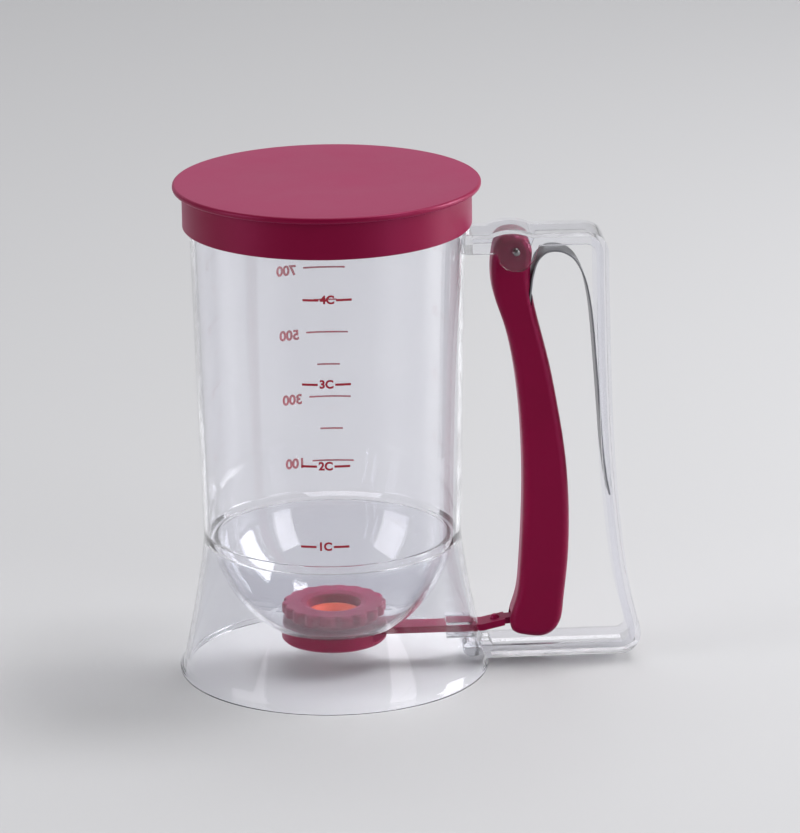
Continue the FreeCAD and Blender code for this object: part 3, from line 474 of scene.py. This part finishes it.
# %% Draw the strip
SPRING_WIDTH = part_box("leaf_spring")[1][1] * 2 / MM
SPRING_GAUGE = 0.7
spring_points = [PIVOT + Vector((out, 0, -drop)) for out, drop in (
    (4.95, 21.4), (5.75, 15.55), (6.43, 10.3), (8.3, 4.47), (11.47, 1.31), (15.19, 0.65),
    (19.03, 1.61), (22.91, 4.8), (26.27, 11.91), (28.35, 21.95), (29.45, 31.93), (30.15, 41.0),
    (30.95, 52.0), (31.85, 65.0), (32.85, 79.0), (34.15, 90.05), (35.55, 98.05))]
spring_path = smooth_path(spring_points, 6)
deselect()
bpy.ops.mesh.primitive_plane_add(size=SPRING_WIDTH * MM, location=(0, 0, 0))
spring = bpy.context.object
spring.name = "spring_strip"
for face in spring.data.polygons:
    face.select = False
for vertex in spring.data.vertices:
    vertex.select = vertex.co.x > 0
    place = spring_path[1] if vertex.select else spring_path[0]
    vertex.co.x = place.x * MM
    vertex.co.z = place.z * MM
for edge in spring.data.edges:
    edge.select = all(spring.data.vertices[i].select for i in edge.vertices)
bpy.ops.object.mode_set(mode="EDIT")
for before, after in zip(spring_path[1:], spring_path[2:]):
    step = tuple((after - before) * MM)
    bpy.ops.mesh.extrude_region_move(TRANSFORM_OT_translate={"value": step})
bpy.ops.object.mode_set(mode="OBJECT")
apply_modifier(spring, "SOLIDIFY", thickness=SPRING_GAUGE * MM, offset=0)
close_and_face_out(spring)
apply_modifier(spring, "BEVEL", width=0.15 * MM, segments=2, limit_method="ANGLE",
               angle_limit=math.radians(50))
smooth(spring, 30)
measure(spring)

# %% [markdown]
# Two scales are printed on the jug. Cups run up the front, each number between two short
# dashes, and millilitres run up the back, so they read backwards through the jug. Text and
# bars are drawn flat, made into meshes, and then wrapped round the drafted wall.

# %% Wrap flat print round the wall
INK_LIFT = 0.06


def wall_radius(height):
    share = (height - NECK_HEIGHT) / (RIM_TOP - NECK_HEIGHT)
    return NECK_RADIUS + (RIM_RADIUS - NECK_RADIUS) * share + INK_LIFT


def wrap(piece, azimuth):
    """Bends a flat print, drawn in XY, round the jug with its X = 0 at an azimuth."""
    for vertex in piece.data.vertices:
        across, height = vertex.co.x / MM, vertex.co.y / MM
        radius = wall_radius(height)
        angle = math.radians(azimuth) + across / radius
        vertex.co = Vector((radius * math.cos(angle), radius * math.sin(angle), height)) * MM


def flat_bar(across, height, width, thickness):
    deselect()
    bpy.ops.mesh.primitive_grid_add(x_subdivisions=12, y_subdivisions=1, size=1,
                                    location=(across * MM, height * MM, 0))
    bar = bpy.context.object
    bar.scale = (width * MM, thickness * MM, 1)
    settle(bar)
    return bar


def flat_text(words, across, height, size):
    deselect()
    bpy.ops.object.text_add(location=(across * MM, height * MM, 0))
    text = bpy.context.object
    text.data.body = words
    text.data.size = size * MM
    text.data.offset = 0.042 * size * MM
    text.data.align_x = "CENTER"
    text.data.align_y = "CENTER"
    bpy.ops.object.convert(target="MESH")
    settle(bpy.context.object)
    return bpy.context.object


def join(parts, name):
    deselect()
    for part in parts:
        part.select_set(True)
    bpy.context.view_layer.objects.active = parts[0]
    bpy.ops.object.join()
    piece = bpy.context.object
    piece.name = name
    return piece


# %% Print the cups on the front
CUP_AZIMUTH = -96.0
cup_heights = {"1C": 63.8, "2C": 95.6, "3C": 127.6, "4C": 160.3}
dash_length = 5.9
dash_place = 6.2
# The column of cups leans a little, as the screen was not quite square to the jug.
cup_lean = 0.026
prints = []
for words, height in cup_heights.items():
    across = (height - cup_heights["1C"]) * cup_lean
    prints.append(flat_bar(across - dash_place, height, dash_length, 0.9))
    prints.append(flat_bar(across + dash_place, height, dash_length, 0.9))
    prints.append(flat_text(words, across, height, 4.4))
cups = join(prints, "cup_scale")
wrap(cups, CUP_AZIMUTH)
measure(cups)

# %% Print the millilitres on the back
ML_AZIMUTH = 86.5
ml_first = 67.2
ml_step = 13.04
ml_lean = 0.03
prints = []
for hundred in range(1, 8):
    height = ml_first + (hundred - 1) * ml_step
    long_mark = hundred % 2 == 1
    across = (height - ml_first) * ml_lean
    prints.append(flat_bar(across, height, 16.5 if long_mark else 9.0, 0.7))
    if long_mark:
        prints.append(flat_text("%d00" % hundred, across + 15.2, height - 0.8, 5.4))
millilitres = join(prints, "ml_scale")
wrap(millilitres, ML_AZIMUTH)
measure(millilitres)

# %% [markdown]
# Finishes are procedural. A small class wraps a shader socket so that arithmetic on values
# reads as arithmetic and adds its Math nodes. Patterns read Object coordinates, so they stay
# put on a piece wherever it moves.


# %% Shader arithmetic
class Value:
    """The output of a node, which can be added, multiplied and so on."""

    def __init__(self, finish, socket):
        self.finish = finish
        self.socket = socket

    def __add__(self, other):
        return self.finish.math("ADD", self, other)

    def __radd__(self, other):
        return self.finish.math("ADD", other, self)

    def __sub__(self, other):
        return self.finish.math("SUBTRACT", self, other)

    def __rsub__(self, other):
        return self.finish.math("SUBTRACT", other, self)

    def __mul__(self, other):
        return self.finish.math("MULTIPLY", self, other)

    def __rmul__(self, other):
        return self.finish.math("MULTIPLY", other, self)


class Finish:
    """A material, with the few kinds of node that this lesson uses."""

    def __init__(self, name, **sockets):
        self.material = bpy.data.materials.new(name)
        self.material.use_nodes = True
        self.tree = self.material.node_tree
        self.shader = self.tree.nodes["Principled BSDF"]
        for key, value in sockets.items():
            self.shader.inputs[key.replace("_", " ")].default_value = value
        self.place = self.node("ShaderNodeTexCoord", output="Object")

    def node(self, kind, settings=None, inputs=None, output=0):
        """Adds a node: its settings first, then the values or links of its sockets."""
        node = self.tree.nodes.new(kind)
        for key, value in (settings or {}).items():
            setattr(node, key, value)
        for key, value in (inputs or {}).items():
            self.put(node.inputs[key], value)
        return Value(self, node.outputs[output])

    def put(self, socket, value):
        if isinstance(value, Value):
            self.tree.links.new(value.socket, socket)
        else:
            socket.default_value = value

    def feed(self, name, value):
        self.put(self.shader.inputs[name], value)

    def math(self, operation, a, b):
        return self.node("ShaderNodeMath", {"operation": operation}, {0: a, 1: b})

    def noise(self, scale, detail=3.0, stretch=(1, 1, 1)):
        """Noise between 0 and 1, with the given number of features per metre."""
        place = self.node("ShaderNodeMapping", None, {"Vector": self.place, "Scale": stretch})
        return self.node("ShaderNodeTexNoise", None,
                         {"Vector": place, "Scale": scale, "Detail": detail})

    def between(self, value, low, high, out_low, out_high):
        """Stretches a value from one range to another and stops at the ends."""
        return self.node("ShaderNodeMapRange", {"clamp": True},
                         {"Value": value, "From Min": low, "From Max": high,
                          "To Min": out_low, "To Max": out_high})

    def blend(self, factor, first, second):
        """A colour between two others, each a plain colour or another node's output."""
        ends = [end if isinstance(end, Value) else (*end, 1) for end in (first, second)]
        return self.node("ShaderNodeMix", {"data_type": "RGBA"},
                         {0: factor, 6: ends[0], 7: ends[1]}, output=2)

    def distance_from(self, point):
        return self.node("ShaderNodeVectorMath", {"operation": "DISTANCE"},
                         {0: self.place, 1: point}, output=1)

    def height(self):
        return self.node("ShaderNodeSeparateXYZ", None, {0: self.place}, output=2)

    def bump(self, height, depth):
        """Raises the surface by up to a depth in mm."""
        self.feed("Normal", self.node("ShaderNodeBump", None,
                                      {"Height": height, "Distance": depth * MM, "Strength": 1.0}))


# %% [markdown]
# Clear styrene plastic has a faint lavender cast. The walls are so thin that they hardly bend
# what is behind them, so the body of the plastic gets a low index and a clear coat gives the
# mirror gloss of the surface. The handle's channel is thicker and bends more. Handling leaves
# soft smudges and very fine rub marks, and the wall is never perfectly even, which makes
# reflections swim slightly. The skirt reflects less, so its coat is weaker, and its colour is
# painted a little greyer as painted shade over the floor seen through it.


# %% Clear plastic
def clear_plastic(name, index):
    clear = Finish(name, IOR=index, Transmission_Weight=0.99, Coat_IOR=1.52, Coat_Roughness=0.02)
    smudges = clear.between(clear.noise(28, 4), 0.52, 0.75, 0.0, 1.0)
    rubs = clear.between(clear.noise(900, 2, (1, 1, 0.08)), 0.62, 0.8, 0.0, 1.0)
    clear.tint = clear.blend(smudges, (0.955, 0.957, 0.985), (0.93, 0.93, 0.965))
    clear.feed("Base Color", clear.tint)
    clear.feed("Roughness", 0.012 + smudges * 0.03 + rubs * 0.03)
    clear.bump(clear.noise(38, 2), 0.035)
    return clear


# %% Weaker gloss and painted shade on the skirt
jug_plastic = clear_plastic("jug_plastic", 1.15)
from_bowl = jug_plastic.distance_from((0, 0, BOWL_CENTRE * MM))
below_neck = jug_plastic.between(jug_plastic.height(),
                                 (WEB_UNDER - 2) * MM, (NECK_HEIGHT - 1) * MM, 1.0, 0.0)
outside_bowl = jug_plastic.between(from_bowl, (BOWL_RADIUS + 0.8) * MM, (BOWL_RADIUS + 2) * MM,
                                   0.0, 1.0)
on_skirt = below_neck * outside_bowl
# The skirt's greyer colour is painted shade. It darkens the floor seen through the skirt, which
# gets no shadow from the jug.
skirt_painted_shade = (0.865, 0.868, 0.895)
jug_plastic.feed("Coat Weight", 1.0 - on_skirt * 0.78)
jug_plastic.feed("Base Color", jug_plastic.blend(on_skirt, jug_plastic.tint, skirt_painted_shade))

# %% [markdown]
# The two ears of the handle lie over the trigger's head. In the photograph they hardly veil it,
# so the coat is weak round the pin.

# %% Weaker gloss round the pin
handle_plastic = clear_plastic("handle_plastic", 1.27)
from_pin = handle_plastic.distance_from(tuple(PIVOT * MM))
handle_plastic.feed("Coat Weight",
                    handle_plastic.between(from_pin, 14 * MM, 20 * MM, 0.05, 0.8))

# %% [markdown]
# The raspberry plastic is dyed through. Its gloss is soft and takes the dye's colour: a broad
# sheen with a fine moulded grain, slightly mottled where the colour swirled in the mould.

# %% Raspberry plastic
raspberry = Finish("raspberry_plastic", IOR=1.5, Specular_Tint=(1.0, 0.2, 0.5, 1),
                   Sheen_Weight=0.3, Sheen_Roughness=0.45, Sheen_Tint=(1.0, 0.1, 0.42, 1))
swirl = raspberry.noise(45, 4)
grain = raspberry.noise(2600, 2)
raspberry.feed("Base Color", raspberry.blend(swirl, (0.145, 0.0006, 0.018), (0.180, 0.0009, 0.026)))
raspberry.feed("Roughness", 0.27 + swirl * 0.1 + grain * 0.06)
raspberry.bump(grain + raspberry.noise(500, 2) * 0.8, 0.012)

# %% Orange silicone
silicone = Finish("orange_silicone", IOR=1.41, Subsurface_Weight=0.25, Subsurface_Scale=0.002)
bloom = silicone.noise(160, 4)
silicone.feed("Base Color", silicone.blend(bloom, (0.80, 0.06, 0.012), (0.90, 0.12, 0.03)))
silicone.feed("Roughness", 0.42 + bloom * 0.2)
silicone.bump(silicone.noise(1800, 2), 0.015)

# %% [markdown]
# Spring strip is rolled, so its marks run along its length. The pin is a darker turned steel.
# Both are bare metal with slightly uneven gloss.

# %% Steels
strip_steel = Finish("spring_steel", Metallic=1.0)
rolled = strip_steel.noise(1500, 3, (0.06, 1, 0.06))
strip_steel.feed("Base Color", strip_steel.blend(rolled, (0.15, 0.15, 0.16), (0.30, 0.30, 0.32)))
strip_steel.feed("Roughness", 0.24 + rolled * 0.2)
strip_steel.bump(rolled, 0.01)
pin_steel = Finish("pin_steel", Metallic=1.0)
polish = pin_steel.noise(1200, 3)
pin_steel.feed("Base Color", pin_steel.blend(polish, (0.16, 0.15, 0.155), (0.26, 0.25, 0.255)))
pin_steel.feed("Roughness", 0.15 + polish * 0.15)
pin_steel.bump(polish, 0.006)

# %% Printing ink
ink = Finish("scale_ink", IOR=1.45)
cover = ink.noise(1400, 3)
ink.feed("Base Color", ink.blend(cover, (0.28, 0.004, 0.018), (0.38, 0.010, 0.032)))
ink.feed("Roughness", 0.38 + cover * 0.2)

# %% [markdown]
# Each piece now gets its finish, hides the solid of the frame that it stands for, and rides on
# the body that carries it. The spring rides on no body and keeps its place. The jug's thin
# plastic lets nearly all light through, so it casts no shadow of its own.


# %% Dress the pieces and mount them
def dress(piece, finish, slot, body, *replaced):
    piece.data.materials.clear()
    piece.data.materials.append(finish.material)
    if replaced:
        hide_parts(*replaced)
    if body:
        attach(piece, body)


dress(jug, jug_plastic, "clear_plastic", "jug", "jug_body")
dress(handle, handle_plastic, "clear_plastic", "jug", "handle_frame")
dress(pin, pin_steel, "pin_steel", "jug", "pivot_pin")
dress(housing, raspberry, "raspberry_plastic", "jug", "valve_housing")
dress(seal, silicone, "orange_rubber", "jug", "outlet_seal")
dress(collar, raspberry, "raspberry_plastic", "jug", "valve_collar")
dress(cups, ink, "raspberry_plastic", "jug")
dress(millilitres, ink, "raspberry_plastic", "jug")
dress(trigger, raspberry, "raspberry_plastic", "trigger", "trigger")
dress(arm, raspberry, "raspberry_plastic", "slide", "slide_arm")
dress(lid, raspberry, "raspberry_plastic", "lid", "lid")
dress(spring, strip_steel, "spring_steel", None, "leaf_spring")
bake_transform(spring)
jug.visible_shadow = False

# %% [markdown]
# The studio is plain: a pale floor that fills the view, a key light high on the right that
# throws a soft shadow to the left, a tall softbox on each side whose reflections show in the
# bowl, one more to the right for the edges, a pale panel behind for the lid and a light over
# the far floor.

# %% Floor
deselect()
bpy.ops.mesh.primitive_plane_add(size=9, location=(0, 2.0, 0))
floor = bpy.context.object
floor.name = "floor"
paper = Finish("floor_paper", IOR=1.4)
fibre = paper.noise(700, 4)
paper.feed("Base Color", paper.blend(fibre, (0.50, 0.50, 0.512), (0.52, 0.52, 0.532)))
paper.feed("Roughness", 0.5 + fibre * 0.1)
floor.data.materials.append(paper.material)

# %% World and lamps
world = bpy.data.worlds.new("studio")
bpy.context.scene.world = world
world.use_nodes = True
backdrop = world.node_tree.nodes["Background"]
backdrop.inputs["Color"].default_value = (0.86, 0.86, 0.88, 1)
backdrop.inputs["Strength"].default_value = 0.31


def softbox(name, place, aim, width, height, power):
    """An area lamp at a place, turned towards a point, in metres and watts."""
    deselect()
    bpy.ops.object.light_add(type="AREA", location=place)
    lamp = bpy.context.object
    lamp.name = name
    lamp.data.shape = "RECTANGLE"
    lamp.data.size = width
    lamp.data.size_y = height
    lamp.data.energy = power
    lamp.rotation_euler = (Vector(aim) - Vector(place)).to_track_quat("-Z", "Y").to_euler()


middle = (0.02, 0, 0.09)
softbox("key", (0.95, 0.2, 2.3), middle, 0.8, 0.8, 27)
softbox("left_box", (-1.35, -0.46, 0.5), middle, 0.8, 1.0, 8)
softbox("right_box", (1.02, -0.86, 0.45), middle, 0.5, 0.9, 6)
softbox("side_right", (1.5, 0.25, 0.6), middle, 0.6, 1.0, 24)
softbox("back_panel", (0.0, 3.6, 1.3), middle, 5.0, 2.4, 8)
softbox("rear_top", (0.2, 1.1, 2.4), (0.1, 0.9, 0.0), 1.6, 1.0, 15)

# %% [markdown]
# The camera stands where the photograph was taken: a long lens, almost two metres away, a
# little above, and very slightly rolled. The handle points just past square to the view.

# %% Camera
HANDLE_TURN = math.radians(3.5)
ELEVATION = math.radians(16.74)
ROLL = math.radians(-0.77)
FOCAL_PIXELS = 5000.0
PICTURE_HEIGHT = 833
DISTANCE = 1.912
aim_point = Vector((0.02655, 0.0, 0.09955))
turn_back = Matrix.Rotation(-HANDLE_TURN, 3, "Z")
ahead = turn_back @ Vector((0, math.cos(ELEVATION), -math.sin(ELEVATION)))
level = turn_back @ Vector((1, 0, 0))
above = level.cross(ahead)
right = level * math.cos(ROLL) + above * math.sin(ROLL)
up = above * math.cos(ROLL) - level * math.sin(ROLL)
deselect()
bpy.ops.object.camera_add(location=turn_back @ aim_point - ahead * DISTANCE)
camera = bpy.context.object
camera.rotation_euler = Matrix((right, up, -ahead)).transposed().to_euler()
camera.data.sensor_width = 36.0
camera.data.lens = FOCAL_PIXELS / PICTURE_HEIGHT * camera.data.sensor_width
camera.data.clip_end = 50
bpy.context.scene.camera = camera
bpy.context.scene.view_settings.view_transform = "Standard"
print("lens %.1f mm" % camera.data.lens)
